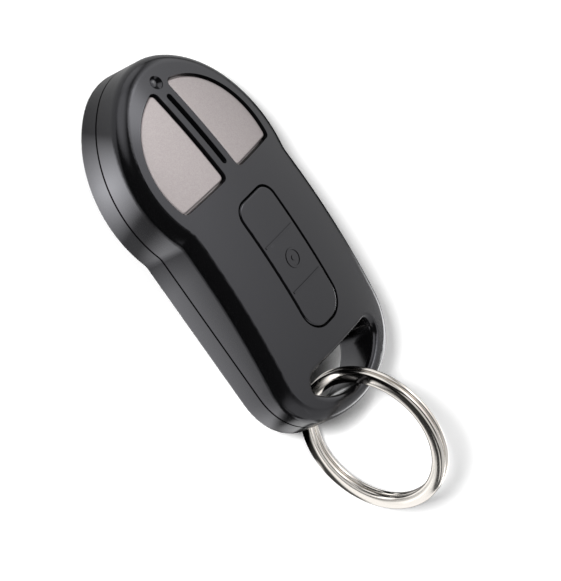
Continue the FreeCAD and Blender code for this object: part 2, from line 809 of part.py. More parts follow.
def centre_key_marks(body):
    """Two lines across the key, and a plain ring with a dot between them."""
    sketch = rectangle(body, "mark_plan", "-line_half_length", "line_half_length",
                       "upper_line_place - line_width / 2", "upper_line_place + line_width / 2")
    corners = [(-1, -20), (1, -20), (1, -19), (-1, -19)]
    first = sketch.addGeometry([line(corners[side], corners[(side + 1) % 4]) for side in range(4)])[0]
    for side in range(4):
        together(sketch, first + side, 2, first + (side + 1) % 4, 1)
        kind = "Horizontal" if side % 2 == 0 else "Vertical"
        sketch.addConstraint(Sketcher.Constraint(kind, first + side))
    hold_x(sketch, first, 1, "-line_half_length")
    hold_y(sketch, first, 1, "lower_line_place - line_width / 2")
    hold_x(sketch, first + 2, 1, "line_half_length")
    hold_y(sketch, first + 2, 1, "lower_line_place + line_width / 2")
    circle(sketch, "ring_mark_radius", "ring_mark_place")
    circle(sketch, "ring_mark_radius - ring_mark_width", "ring_mark_place")
    circle(sketch, "dot_mark_radius", "ring_mark_place")
    return sketch


def keys():
    made = []
    for side_name, side, sign in SIDES:

        def outline(body, name, grow, side=side):
            return quarter_outline(body, name, side, grow)

        made.append(key(side_name + "_key", outline, "head_keys_corner_radius", "-head_keys_recess",
                        sign + "head_switch_side", "head_switch_place"))
    made.append(key("centre_key", long_outline, None, "0", "0", "centre_switch_place",
                    centre_key_marks))
    return made


# Indicator light


def indicator():
    rod = cylinder("lens_rod", "lens_radius", "light_face - recess_depth - lens_base",
                   "0", "light_place", "lens_base")
    flange = cylinder("lens_flange", "lens_flange_radius", "lens_flange_thickness", "0", "light_place",
                      "light_face - roof - lens_flange_drop - lens_flange_thickness")
    chip = box("status_light", "light_chip_width", "light_chip_depth", "light_chip_height",
               "0", "light_place", "board_top")
    return [joined("indicator_lens", [rod, flange]), chip]


# Circuit board and what is on it


def circuit_board():
    form = plan_pad("board_form", "board_inset", "board_height", "board_thickness")
    without_end(form, "chamber_end + board_gap")
    notches = [cylinder("board_notch_" + side_name, "boss_radius + board_gap",
                        "board_thickness + cut_margin", sign + "screw_side", "screw_place",
                        "board_height - cut_margin / 2")
               for side_name, _, sign in SIDES]
    return cut("circuit_board", form, joined("board_notches", notches))


def switch(name, x, y):
    """A snap switch: base with a well, sheet frame, snap dome and stem."""
    block = box(name + "_block", "switch_width", "switch_width", "switch_base_height", x, y, "board_top")
    well = cylinder(name + "_well", "well_radius", "switch_base_height", x, y, "dome_base")
    base = cut(name + "_base", block, well)
    outer = box(name + "_frame_outer", "switch_width + 2 * switch_sheet", "switch_width",
                "switch_sheet_drop + switch_sheet", x, y, "switch_top - switch_sheet_drop")
    inner = box(name + "_frame_inner", "switch_width", "switch_width + cut_margin", "switch_sheet_drop",
                x, y, "switch_top - switch_sheet_drop")
    hole = cylinder(name + "_frame_hole", "stem_radius + stem_gap", "cut_margin", x, y, "board_top")
    frame = cut(name + "_frame", cut(name + "_sheet", outer, inner), hole)
    skin = cone(name + "_dome_skin", "dome_foot_radius", "dome_top_radius", "dome_height",
                x, y, "dome_base")
    hollow = cone(name + "_dome_hollow", "dome_foot_radius - dome_sheet", "dome_top_radius - dome_sheet",
                  "dome_height - dome_sheet", x, y, "dome_base")
    dome = cut(name + "_dome", skin, hollow)
    rod = cylinder(name + "_rod", "stem_radius", "stem_height", x, y, "stem_base")
    collar = cylinder(name + "_collar", "stem_collar_radius", "stem_collar_height", x, y, "stem_base")
    stem = joined(name + "_stem", [rod, collar])
    return [base, frame, dome, stem]


def small_parts():
    """Controller, crystal, and small resistors and capacitors in two rows."""
    made = [
        box("controller_chip", "chip_width", "chip_width", "chip_height",
            "-chip_side", "chip_place", "board_top"),
        box("crystal", "crystal_width", "crystal_depth", "crystal_height",
            "chip_side", "chip_place", "board_top"),
    ]
    for row, row_name in enumerate(("upper", "lower")):
        for column, column_name in enumerate(("left", "middle", "right")):
            x = "%d * small_part_pitch" % (column - 1)
            y = "small_parts_place - %d * small_part_pitch" % row
            made.append(box("small_part_%s_%s" % (row_name, column_name), "small_part_width",
                            "small_part_depth", "small_part_height", x, y, "board_top"))
    return made


def antenna_loop():
    """A flat copper loop on the lower end of the board, open at one side."""
    outer = box("loop_outer", "loop_width", "loop_depth", "loop_thickness",
                "0", "loop_place", "board_top")
    inner = box("loop_inner", "loop_width - 2 * loop_track", "loop_depth - 2 * loop_track", "cut_margin",
                "0", "loop_place", "board_top - cut_margin / 2")
    break_x = "chip_side"
    gap = box("loop_gap", "loop_track", "2 * loop_track", "cut_margin", break_x,
              "loop_place + loop_depth / 2", "board_top - cut_margin / 2")
    return cut("antenna_loop", cut("loop_ring", outer, inner), gap)


# Coin cell and its contacts


def coin_cell():
    """Can with its open side up, a cap in it and a gasket between them."""
    top = "cell_bottom + cell_height"
    shell = cylinder("cell_shell", "cell_radius", "cell_height", "0", "cell_place", "cell_bottom")
    hollow = cylinder("cell_hollow", "cell_radius - cell_sheet", "cell_height", "0", "cell_place",
                      "cell_bottom + cell_sheet")
    can = cut("cell_can", shell, hollow)
    cap = cylinder("cell_cap", "cell_cap_radius", "cell_height - cell_sheet", "0", "cell_place",
                   "cell_bottom + cell_sheet")
    ring = cylinder("gasket_outer", "cell_radius - cell_sheet", "cell_height - 2 * cell_sheet",
                    "0", "cell_place", "cell_bottom + cell_sheet")
    bore = cylinder("gasket_bore", "cell_cap_radius", "cell_height + cut_margin", "0", "cell_place",
                    "cell_bottom - cut_margin / 2")
    return [can, cap, cut("cell_gasket", ring, bore)], top


def contacts(cell_top):
    """A strap under the cell up to the board, and a dimpled spring plate on the cap."""
    width = "2 * (cell_radius + clip_gap + contact_sheet)"
    strap = box("clip_strap", width, "clip_width", "contact_sheet", "0", "cell_place", "clip_base")
    legs = [box("clip_leg_" + side_name, "contact_sheet", "clip_width", "board_height - clip_base",
                sign + "(cell_radius + clip_gap + contact_sheet / 2)", "cell_place", "clip_base")
            for side_name, _, sign in SIDES]
    clip = joined("positive_clip", [strap] + legs)
    plate = cylinder("contact_plate", "contact_radius", "contact_sheet", "0", "cell_place",
                     "board_height - contact_sheet")
    dimple = cone("contact_dimple", "contact_dimple_radius / 2", "contact_dimple_radius",
                  "board_height - contact_sheet - (%s)" % cell_top, "0", "cell_place", cell_top)
    return [clip, joined("negative_contact", [plate, dimple])]


# Cover screws


def cover_screw(side_name, sign):
    head = cone("screw_head_" + side_name, "screw_head_radius", "screw_radius", "screw_head_height",
                sign + "screw_side", "screw_place", "screw_sink")
    shank = cylinder("screw_shank_" + side_name, "screw_radius", "screw_length",
                     sign + "screw_side", "screw_place", "screw_sink")
    slots = [box("screw_slot_%s_%s" % (way, side_name), long, wide, "screw_head_height",
                 sign + "screw_side", "screw_place", "screw_sink - screw_head_height / 2")
             for way, long, wide in (("across", "1.4 * screw_head_radius", "screw_slot_width"),
                                     ("along", "screw_slot_width", "1.4 * screw_head_radius"))]
    whole = joined("screw_whole_" + side_name, [head, shank])
    return cut("cover_screw_" + side_name, whole, joined("screw_cross_" + side_name, slots))


# Split key ring: one flat wire wound twice, which steps aside where its ends lie


def biarc(start, start_way, end, end_way):
    """Two arcs that leave start and reach end in the given directions."""
    step, ways = end - start, start_way + end_way
    along, bend = step.dot(ways), 2 * (1 - start_way.dot(end_way))
    reach = (math.sqrt(along**2 + bend * step.dot(step)) - along) / bend
    middle = (start + start_way * reach + end - end_way * reach) * 0.5
    return [bent(start, start_way, middle), bent(end, -end_way, middle)]


def bent(start, way, end):
    """The arc that leaves start along way and ends at end."""
    chord = end - start
    inward = chord - way * chord.dot(way)
    inward.normalize()
    radius = chord.dot(chord) / (2 * chord.dot(inward))
    centre = start + inward * radius
    middle = (start - centre) + (end - centre)
    middle.normalize()
    return (start, centre + middle * radius, end)


def key_ring():
    width, thick = size("ring_wire_width"), size("ring_wire_thickness")
    radius = size("ring_outer_radius") - width / 2
    shift = (thick + size("ring_turn_gap")) / 2
    joggle = math.radians(size("ring_joggle_angle"))
    first = math.radians(size("ring_end_angle"))
    trim = math.radians(RING_END_TRIM)

    def spot(turn, side):
        return Vector(side, radius * math.cos(turn), radius * math.sin(turn))

    def way(turn):
        return Vector(0, -math.sin(turn), math.cos(turn))

    def planar(start, end, side):
        """Two arcs of one circle."""
        half = (start + end) / 2
        return [(spot(low, side), spot((low + high) / 2, side), spot(high, side))
                for low, high in ((start, half), (half, end))]

    round_trip = 2 * math.pi
    start = first + joggle + trim
    crossing = first + round_trip
    landing = crossing + joggle
    end = first + 2 * round_trip - trim
    arcs = planar(start, crossing, -shift)
    step = biarc(spot(crossing, -shift), way(crossing), spot(landing, shift), way(landing))
    arcs += [step[0], tuple(reversed(step[1]))]
    arcs += planar(landing, end, shift)
    path = Part.Wire([Part.Arc(*points).toShape() for points in arcs])
    outward = Vector(0, math.cos(start), math.sin(start))
    profile = wire_section(spot(start, -shift), outward, width, thick)
    wire = path.makePipeShell([profile], True, False)
    report_ring_gap(path, width, thick)
    ring = doc.addObject("Part::Feature", "key_ring")
    ring.Shape = wire
    ring.Placement = Placement(Vector(0, size("ring_place"), size("ring_height")), Rotation())
    return ring


def wire_section(centre, outward, width, thick):
    """A flat section with rounded corners, its width along outward and its thickness along X."""
    rounding = size("ring_wire_rounding")
    aside = Vector(1, 0, 0)
    slant = rounding * (1 - math.sqrt(0.5))
    edges = []
    corners = ((1, 1), (-1, 1), (-1, -1), (1, -1))

    def point(out, over):
        return centre + outward * out + aside * over

    stops = []
    for out, over in corners:
        far, wide = out * width / 2, over * thick / 2
        ends = [point(far, wide - over * rounding), point(far - out * rounding, wide)]
        if out * over < 0:
            ends.reverse()
        stops.append((ends[0], point(far - out * slant, wide - over * slant), ends[1]))
    for number, (begin, middle, finish) in enumerate(stops):
        edges.append(Part.Arc(begin, middle, finish).toShape())
        edges.append(Part.LineSegment(finish, stops[(number + 1) % 4][0]).toShape())
    return Part.Wire(edges)


def report_ring_gap(path, width, thick):
    """Print the least gap between the two turns, from points on the wire's corners."""
    points = path.discretize(Number=RING_GAP_POINTS)
    turn = round(RING_GAP_POINTS * (math.pi * 2 * (size("ring_outer_radius") - width / 2)) / path.Length)
    window = turn // 24
    least = size("ring_outer_radius")
    for number in range(RING_GAP_POINTS - turn + window):
        for other in range(max(number + turn - window, 0), min(number + turn + window, RING_GAP_POINTS)):
            for out in (-1, 0, 1):
                near = corner_point(points[number], out, 1, width, thick)
                for far_out in (-1, 0, 1):
                    far = corner_point(points[other], far_out, -1, width, thick)
                    least = min(least, near.distanceToPoint(far))
    print("least gap between the turns of the key ring: %.3f mm" % least)


def corner_point(spot, out, over, width, thick):
    """A point on the wire: on its inner, middle or outer line, on one of its flat sides."""
    outward = Vector(0, spot.y, spot.z)
    outward.normalize()
    return spot + outward * (out * width / 2) + Vector(over * thick / 2, 0, 0)


# The whole part

rear = rear_cover()
front = front_cover()
made_keys = keys()
lens, light = indicator()
board = circuit_board()
switches = []
for side_name, _, sign in SIDES:
    switches += switch(side_name + "_switch", sign + "head_switch_side", "head_switch_place")
switches += switch("centre_switch", "0", "centre_switch_place")
cell, cell_top = coin_cell()
metal = contacts(cell_top)
screws = [cover_screw(side_name, sign) for side_name, _, sign in SIDES]
ring = key_ring()

nodes = [rear, front, lens, light, board, ring, antenna_loop()]
nodes += made_keys + switches + cell + metal + screws + small_parts()

for node in nodes:
    node.Label = node.Name

doc.recompute()

for item in doc.Objects:
    if "Invalid" in item.State or "Error" in item.State:
        raise RuntimeError("%s failed: %s" % (item.Name, item.State))

os.makedirs("parts", exist_ok=True)
for node in nodes:
    shape = node.Shape
    if shape.isNull() or not shape.isValid() or len(shape.Solids) != 1:
        raise RuntimeError("%s is not one valid solid" % node.Label)
    shape.exportStep("parts/%s.step" % node.Label)
    print("%s: %.1f cubic mm" % (node.Label, shape.Volume))
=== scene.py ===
# %% [markdown]
# # A key fob transmitter
# A black two-shell fob with two silver keys, one long black key and a nickel-plated split ring.
# The CAD model gives every solid and its place. This file gives each one its finish, winds the ring
# anew with its two turns almost touching, gives the indicator light a domed window, copies the switches'
# domes onto the housing, and sets up the sheet, the light and the camera.

# %% Load the frame
import json

from math import atan2, cos, degrees, pi, radians, sin

import bmesh
import bpy
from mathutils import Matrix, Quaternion, Vector


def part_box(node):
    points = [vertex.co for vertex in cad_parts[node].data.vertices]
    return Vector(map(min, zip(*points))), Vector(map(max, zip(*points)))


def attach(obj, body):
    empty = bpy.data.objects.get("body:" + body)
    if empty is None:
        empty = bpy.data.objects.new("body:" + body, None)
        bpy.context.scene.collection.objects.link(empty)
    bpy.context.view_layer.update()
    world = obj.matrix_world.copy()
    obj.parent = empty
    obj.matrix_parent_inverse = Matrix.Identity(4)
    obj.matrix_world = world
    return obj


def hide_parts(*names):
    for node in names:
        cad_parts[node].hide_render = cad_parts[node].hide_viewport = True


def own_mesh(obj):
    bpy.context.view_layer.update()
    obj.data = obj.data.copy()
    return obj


MM = 0.001
MICRON = MM / 1000
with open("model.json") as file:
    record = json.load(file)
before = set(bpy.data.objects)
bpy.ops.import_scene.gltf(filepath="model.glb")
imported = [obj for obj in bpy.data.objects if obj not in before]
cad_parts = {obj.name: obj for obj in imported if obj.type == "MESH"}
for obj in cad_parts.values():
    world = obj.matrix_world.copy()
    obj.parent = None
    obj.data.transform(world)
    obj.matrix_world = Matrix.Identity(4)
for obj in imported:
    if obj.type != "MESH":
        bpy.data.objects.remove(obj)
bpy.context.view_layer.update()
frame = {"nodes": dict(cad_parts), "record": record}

# %% [markdown]
# The camera stands above the left flank and looks down on the face, with the head at the top left of
# the picture. A long lens far away and a short one close by can both frame the fob. The sides of the
# photographed fob stay almost parallel, so the lens is long. The camera is placed by the point it looks
# at, its direction and its roll, which are easier to adjust by eye than three rotation angles.

# %% The camera
LOOK_AT = Vector((-3.5, -10.37, 10.0)) * MM
LOOK_AWAY = Vector((0.6917, -0.19, -0.6968)).normalized()
CAMERA_DISTANCE = 716.5 * MM
CAMERA_ROLL = radians(65.19)
LENS_MM = 265.7

camera_data = bpy.data.cameras.new("camera")
camera_data.lens = LENS_MM
camera_data.sensor_width = 36.0
camera_data.clip_start = 0.05
camera_data.dof.use_dof = False
camera = bpy.data.objects.new("camera", camera_data)
bpy.context.scene.collection.objects.link(camera)
camera.location = LOOK_AT - LOOK_AWAY * CAMERA_DISTANCE
upright = LOOK_AWAY.to_track_quat("-Z", "Y")
camera.rotation_euler = (upright @ Quaternion((0, 0, 1), CAMERA_ROLL)).to_euler()
bpy.context.scene.camera = camera
bpy.context.scene.view_settings.view_transform = "Standard"
print("camera at", [round(value / MM) for value in camera.location], "mm")

# %% [markdown]
# Most finishes need the same few node steps, so small helpers keep the later cells short. They add a
# node and set its inputs, join two sockets, start a material or a group, and make the steps that come
# back in nearly every finish: a texture, a ramp, a sum or product, a colour between two, and relief.
# A material starts with a plain colour and roughness. A pattern that is joined later takes their place.

# %% Helpers for nodes


def add_node(tree, kind, settings=None, **inputs):
    """A new node, with properties from settings and input values by name (spaces as underscores)."""
    node = tree.nodes.new(kind)
    for name, value in (settings or {}).items():
        setattr(node, name, value)
    for name, value in inputs.items():
        node.inputs[name.replace("_", " ")].default_value = value
    return node


def join(tree, start, end):
    tree.links.new(start, end)


def new_material(name, color, roughness, metallic=0.0, **more):
    """A material with one Principled BSDF. Returns the material, its tree and the shader."""
    material = bpy.data.materials.new(name)
    material.use_nodes = True
    tree = material.node_tree
    shader = tree.nodes["Principled BSDF"]
    shader.inputs["Base Color"].default_value = (*color, 1.0)
    shader.inputs["Roughness"].default_value = roughness
    shader.inputs["Metallic"].default_value = metallic
    for socket, value in more.items():
        shader.inputs[socket.replace("_", " ")].default_value = value
    return material, tree, shader


def texture(tree, kind, place, settings=None, **inputs):
    """A texture node that reads the given coordinates."""
    node = add_node(tree, "ShaderNodeTex" + kind, settings, **inputs)
    join(tree, place, node.inputs["Vector"])
    return node


def object_place(tree):
    """Where a point lies on the object, in metres."""
    return add_node(tree, "ShaderNodeTexCoord").outputs["Object"]


def ramp(tree, source, start, end, low, high):
    """A value that runs from low to high while the source runs from start to end."""
    node = add_node(tree, "ShaderNodeMapRange", From_Min=start, From_Max=end, To_Min=low, To_Max=high)
    join(tree, source, node.inputs["Value"])
    return node.outputs["Result"]


def combine(tree, operation, *items):
    """One math step on up to three sockets or numbers."""
    node = add_node(tree, "ShaderNodeMath", {"operation": operation})
    for socket, item in zip(node.inputs, items):
        if isinstance(item, (int, float)):
            socket.default_value = item
        else:
            join(tree, item, socket)
    return node.outputs[0]


def chain(tree, operation, *items):
    """The same math step over several sockets or numbers in turn."""
    result = items[0]
    for item in items[1:]:
        result = combine(tree, operation, result, item)
    return result


def color_between(tree, share, first, second):
    """A colour from the first, at share 0, to the second, at share 1."""
    node = add_node(tree, "ShaderNodeMix", {"data_type": "RGBA"}, A=(*first, 1), B=(*second, 1))
    join(tree, share, node.inputs["Factor"])
    return node.outputs["Result"]


def relief(tree, shader, height, depth):
    """Fine relief on a finish, as deep as the given metres."""
    node = add_node(tree, "ShaderNodeBump", Strength=1.0, Distance=depth)
    join(tree, height, node.inputs["Height"])
    join(tree, node.outputs["Normal"], shader.inputs["Normal"])


def new_group(name, inputs, outputs):
    """An empty shader node group with float sockets. Returns the tree and its two end nodes."""
    tree = bpy.data.node_groups.new(name, "ShaderNodeTree")
    for socket, value in inputs.items():
        made = tree.interface.new_socket(socket, in_out="INPUT", socket_type="NodeSocketFloat")
        made.default_value = value
    for socket in outputs:
        tree.interface.new_socket(socket, in_out="OUTPUT", socket_type="NodeSocketFloat")
    return tree, tree.nodes.new("NodeGroupInput"), tree.nodes.new("NodeGroupOutput")


def place_group(tree, group, **inputs):
    node = tree.nodes.new("ShaderNodeGroup")
    node.node_tree = group
    for name, value in inputs.items():
        node.inputs[name.replace("_", " ")].default_value = value
    return node


# %% [markdown]
# Moulded plastic is never a mirror: the steel mould was spark-eroded or blasted, which leaves a fine
# grain about a tenth of a millimetre across. One noise makes the grain, as a height for relief. A second,
# broader one makes the surface a little rougher in some places than in others, so the gloss is uneven.

# %% Group: moulded grain
grain, grain_in, grain_out = new_group(
    "moulded grain",
    {"Grain per mm": 9.0, "Roughness": 0.3, "Roughness Spread": 0.06},
    ["Height", "Roughness"],
)
place = object_place(grain)
fine = texture(grain, "Noise", place, Detail=2.0, Roughness=0.6)
join(grain, combine(grain, "MULTIPLY", grain_in.outputs["Grain per mm"], 1 / MM), fine.inputs["Scale"])
broad = texture(grain, "Noise", place, Scale=160.0, Detail=3.0, Roughness=0.55)
centred = combine(grain, "SUBTRACT", broad.outputs["Fac"], 0.5)
uneven = combine(
    grain, "MULTIPLY_ADD", centred, grain_in.outputs["Roughness Spread"], grain_in.outputs["Roughness"]
)
join(grain, fine.outputs["Fac"], grain_out.inputs["Height"])
join(grain, uneven, grain_out.inputs["Roughness"])
print("group", grain.name)

# %% [markdown]
# Where fingers and keys rub a moulding, its edges are polished first. The Bevel node gives a rounded
# normal near an edge; how far it differs from the true one tells how close the edge is. That works on
# any mesh, without painting a mask by hand.

# %% Group: worn edges
wear, wear_in, wear_out = new_group("worn edges", {"Reach": 0.3 * MM, "Amount": 1.0}, ["Mask"])
rounded = add_node(wear, "ShaderNodeBevel", {"samples": 4})
join(wear, wear_in.outputs["Reach"], rounded.inputs["Radius"])
true_normal = add_node(wear, "ShaderNodeNewGeometry")
alike = add_node(wear, "ShaderNodeVectorMath", {"operation": "DOT_PRODUCT"})
join(wear, rounded.outputs["Normal"], alike.inputs[0])
join(wear, true_normal.outputs["Normal"], alike.inputs[1])
edge = ramp(wear, alike.outputs["Value"], 0.995, 0.9, 0.0, 1.0)
join(wear, combine(wear, "MULTIPLY", edge, wear_in.outputs["Amount"]), wear_out.inputs["Mask"])
print("group", wear.name)

# %% [markdown]
# The shells and the long key are the same satin black. Black plastic gets nearly all of its brightness
# from what it reflects, so its base colour stays close to black and the roughness decides the look.
# In narrow gaps between pieces the gloss fades with how closed in they are, which an ambient occlusion
# node tells. That is painted shade: it keeps the parting line and the key gaps dark.

# %% Finish: satin black plastic
GAP_REACH = 0.6 * MM
GAP_SHADE_GLOSS = 0.08
EDGE_POLISH = 0.08


def plastic(name, color, roughness, grain_depth, spread=0.06, grains=9.0, shine=0.5, **more):
    """Moulded plastic with a fine grain, slightly polished edges and painted shade in narrow gaps."""
    material, tree, shader = new_material(name, color, roughness, **more)
    # Painted shade: the gloss fades in narrow gaps, where ambient occlusion finds them closed in.
    openness = add_node(tree, "ShaderNodeAmbientOcclusion", {"samples": 6}, Distance=GAP_REACH)
    gloss_with_gap_shade = ramp(tree, openness.outputs["AO"], 0.4, 0.8, GAP_SHADE_GLOSS * shine, shine)
    join(tree, gloss_with_gap_shade, shader.inputs["Specular IOR Level"])
    surface = place_group(tree, grain, Grain_per_mm=grains, Roughness=roughness, Roughness_Spread=spread)
    edges = place_group(tree, wear, Amount=EDGE_POLISH)
    polished = combine(tree, "SUBTRACT", surface.outputs["Roughness"], edges.outputs["Mask"])
    join(tree, polished, shader.inputs["Roughness"])
    relief(tree, shader, surface.outputs["Height"], grain_depth)
    return material


shell_black = plastic(
    "satin_black", (0.0018, 0.0018, 0.002), 0.17, 1.0 * MICRON,
    spread=0.03, shine=0.75, Specular_Tint=(0.93, 0.93, 1.0, 1.0),
)
print("finish", shell_black.name)

# %% [markdown]
# The silver keys are black mouldings with a warm silver paint. The paint holds fine metal flakes in a
# clear binder, so it is half metal and half plastic, with tiny flecks that differ in brightness.

# %% Finish: silver paint
silver_paint, tree, shader = new_material("silver_paint", (0.40, 0.36, 0.36), 0.42, 0.55)
flakes = texture(tree, "Voronoi", object_place(tree), Scale=7000.0)
flake = add_node(tree, "ShaderNodeSeparateColor")
join(tree, flakes.outputs["Color"], flake.inputs["Color"])
tint = color_between(tree, flake.outputs["Red"], (0.36, 0.322, 0.322), (0.41, 0.372, 0.370))
join(tree, tint, shader.inputs["Base Color"])
surface = place_group(tree, grain, Grain_per_mm=6.0, Roughness=0.42, Roughness_Spread=0.05)
join(tree, surface.outputs["Roughness"], shader.inputs["Roughness"])
relief(tree, shader, surface.outputs["Height"], 2.0 * MICRON)
print("finish", silver_paint.name)

# %% [markdown]
# A split ring is one flat wire wound twice, with the turns pressed together. The solid keeps a gap
# between its turns; here the wire is wound again with the turns a few hundredths of a millimetre apart.
# The side that faces out is crowned, which draws the photographed band of light along each turn, and the
# side that faces the other turn is flat. The section is swept along a circle. Where the ends lie the wire
# steps aside from one turn to the other, and there the crown changes sides little by little.

# %% Wind the key ring
ring_low, ring_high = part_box("key_ring")
RING_RADIUS = (ring_high.z - ring_low.z) / 2
RING_CENTRE = (ring_low + ring_high) / 2
RING_THICKNESS = ring_high.x - ring_low.x
WIRE_WIDTH = 2.4 * MM
TURN_GAP = 0.05 * MM
WIRE_THICKNESS = (RING_THICKNESS - TURN_GAP) / 2
CROWN_HEIGHT = 0.5 * MM
END_ANGLE = radians(304)
STEP_ANGLE = radians(28)
END_TRIM = radians(2)
END_ROUNDING = 0.3 * MM
END_NARROWING = 0.25
CROWN_POWER = 2.1
FLAT_POWER = 5.0
SECTION_POINTS = 48
PATH_POINTS = 720


def section_point(turn, outward):
    """A point of the wire's section along the radius and across the ring. The outward half is crowned."""
    out, over = cos(turn), sin(turn)
    crowned = over * outward > 0
    power = CROWN_POWER if crowned else FLAT_POWER
    depth = CROWN_HEIGHT if crowned else WIRE_THICKNESS - CROWN_HEIGHT
    middle = outward * (WIRE_THICKNESS / 2 - CROWN_HEIGHT)
    return (
        WIRE_WIDTH / 2 * abs(out) ** (2 / power) * (1 if out > 0 else -1),
        middle + depth * abs(over) ** (2 / power) * (1 if over > 0 else -1),
    )


def side_shift(turn):
    """How far the wire's centre lies to the side at an angle along the winding."""
    apart = (WIRE_THICKNESS + TURN_GAP) / 2
    done = (turn - END_ANGLE - 2 * pi) / STEP_ANGLE
    done = min(max(done, 0.0), 1.0)
    return apart * (2 * done * done * (3 - 2 * done) - 1)


mesh = bpy.data.meshes.new("wound_ring")
shape = bmesh.new()
sections = {
    outward: [section_point(2 * pi * number / SECTION_POINTS, outward) for number in range(SECTION_POINTS)]
    for outward in (-1, 1)
}
first_turn = END_ANGLE + STEP_ANGLE + END_TRIM
last_turn = END_ANGLE + 4 * pi - END_TRIM
middle_radius = RING_RADIUS - WIRE_WIDTH / 2
rings = []
for number in range(PATH_POINTS + 1):
    turn = first_turn + (last_turn - first_turn) * number / PATH_POINTS
    from_end = min(number, PATH_POINTS - number) * (last_turn - first_turn) / PATH_POINTS * middle_radius
    taper = 1.0 - END_NARROWING * max(0.0, 1 - from_end / END_ROUNDING) ** 2
    aside = side_shift(turn)
    share = 0.5 + aside / (WIRE_THICKNESS + TURN_GAP)
    ring = []
    for (out, low), (_, high) in zip(sections[-1], sections[1]):
        over = low + (high - low) * share
        reach = middle_radius + out * taper
        ring.append(shape.verts.new((
            RING_CENTRE.x + aside + over * taper,
            RING_CENTRE.y + reach * cos(turn),
            RING_CENTRE.z + reach * sin(turn),
        )))
    rings.append(ring)
for near, far in zip(rings, rings[1:]):
    for number in range(SECTION_POINTS):
        other = (number + 1) % SECTION_POINTS
        shape.faces.new((near[number], near[other], far[other], far[number]))
shape.faces.new(rings[0][::-1])
shape.faces.new(rings[-1])
bmesh.ops.recalc_face_normals(shape, faces=shape.faces)
shape.to_mesh(mesh)
shape.free()
for face in mesh.polygons:
    face.use_smooth = len(face.vertices) == 4
wound_ring = bpy.data.objects.new("wound_ring", mesh)
bpy.context.scene.collection.objects.link(wound_ring)
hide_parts("key_ring")
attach(wound_ring, "key_ring_body")
print("key ring:", len(mesh.vertices), "points")

# %% [markdown]
# Nickel plate on a tumbled steel wire is bright, slightly warm and never quite a mirror. Drawing the
# wire leaves fine lines along it. One noise stretched round the ring makes them: the angle round its
# centre is one coordinate, and the place on the section gives the other two.

# %% Finish: nickel plate
LINE_STRETCH = 0.8 * MM
nickel, tree, shader = new_material("nickel_plate", (0.80, 0.76, 0.71), 0.14, 1.0)
from_centre = add_node(tree, "ShaderNodeVectorMath", {"operation": "SUBTRACT"})
from_centre.inputs[1].default_value = RING_CENTRE
join(tree, object_place(tree), from_centre.inputs[0])
parts = add_node(tree, "ShaderNodeSeparateXYZ")
join(tree, from_centre.outputs[0], parts.inputs[0])
round_ring = combine(tree, "ARCTAN2", parts.outputs["Z"], parts.outputs["Y"])
from_axis = add_node(tree, "ShaderNodeVectorMath", {"operation": "LENGTH"})
join(tree, from_centre.outputs[0], from_axis.inputs[0])
wound = add_node(tree, "ShaderNodeCombineXYZ")
join(tree, combine(tree, "MULTIPLY", round_ring, LINE_STRETCH), wound.inputs["X"])
join(tree, from_axis.outputs["Value"], wound.inputs["Y"])
join(tree, parts.outputs["X"], wound.inputs["Z"])
lines = texture(tree, "Noise", wound.outputs[0], Scale=9000.0, Detail=3.0, Roughness=0.6)
join(tree, ramp(tree, lines.outputs["Fac"], 0.3, 0.7, 0.09, 0.2), shader.inputs["Roughness"])
relief(tree, shader, lines.outputs["Fac"], 1.2 * MICRON)
mesh.materials.append(nickel)
print("finish", nickel.name)

# %% [markdown]
# The indicator light shines through a small round window of smoked clear plastic. The solid has a flat
# top; the photographed one catches glints on a low dome. A round piece is easiest as a profile turned
# about its axis, as on a lathe: the dome, the rod in its bore and the flange that holds it from inside.

# %% Turn the light window
lens_low, lens_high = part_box("indicator_lens")
LENS_CENTRE = (lens_low + lens_high) / 2
FLANGE_RADIUS = (lens_high.x - lens_low.x) / 2
ROD_RADIUS = 0.72 * MM
DOME_RISE = 0.42 * MM
DOME_FOOT = lens_high.z - 0.05 * MM
FLANGE_DEPTH = 1.2 * MM
FLANGE_THICKNESS = 0.5 * MM
TURNED_SIDES = 64
flange_top = lens_high.z - FLANGE_DEPTH


def turned(name, profile, centre):
    """A closed mesh from (radius, height) points turned about a vertical axis."""
    mesh = bpy.data.meshes.new(name)
    shape = bmesh.new()
    circles = []
    for radius, height in profile:
        circle = []
        for number in range(TURNED_SIDES):
            turn = 2 * pi * number / TURNED_SIDES
            point = (centre.x + radius * cos(turn), centre.y + radius * sin(turn), height)
            circle.append(shape.verts.new(point))
        circles.append(circle)
    for upper, lower in zip(circles, circles[1:]):
        for number in range(TURNED_SIDES):
            other = (number + 1) % TURNED_SIDES
            shape.faces.new((upper[number], lower[number], lower[other], upper[other]))
    shape.faces.new(circles[0])
    shape.faces.new(circles[-1][::-1])
    bmesh.ops.recalc_face_normals(shape, faces=shape.faces)
    shape.to_mesh(mesh)
    shape.free()
    piece = bpy.data.objects.new(name, mesh)
    bpy.context.scene.collection.objects.link(piece)
    return piece


dome_profile = [
    (ROD_RADIUS * sin(radians(angle)), DOME_FOOT + DOME_RISE * cos(radians(angle)))
    for angle in range(3, 91, 3)
]
rod_and_flange = [
    (ROD_RADIUS, flange_top),
    (FLANGE_RADIUS, flange_top),
    (FLANGE_RADIUS, flange_top - FLANGE_THICKNESS),
    (ROD_RADIUS, flange_top - FLANGE_THICKNESS),
    (ROD_RADIUS, lens_low.z),
]
window = turned("light_window", dome_profile + rod_and_flange, LENS_CENTRE)
for face in window.data.polygons:
    face.use_smooth = face.center.z > DOME_FOOT
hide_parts("indicator_lens")
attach(window, "housing")
print("light window:", len(window.data.vertices), "points")

# %% [markdown]
# Smoked plastic looks dark while the light under it is off. Its gloss carries the look, so the base is
# a deep grey. One soft noise makes both its tone and its surface slightly uneven, as in a small moulding.

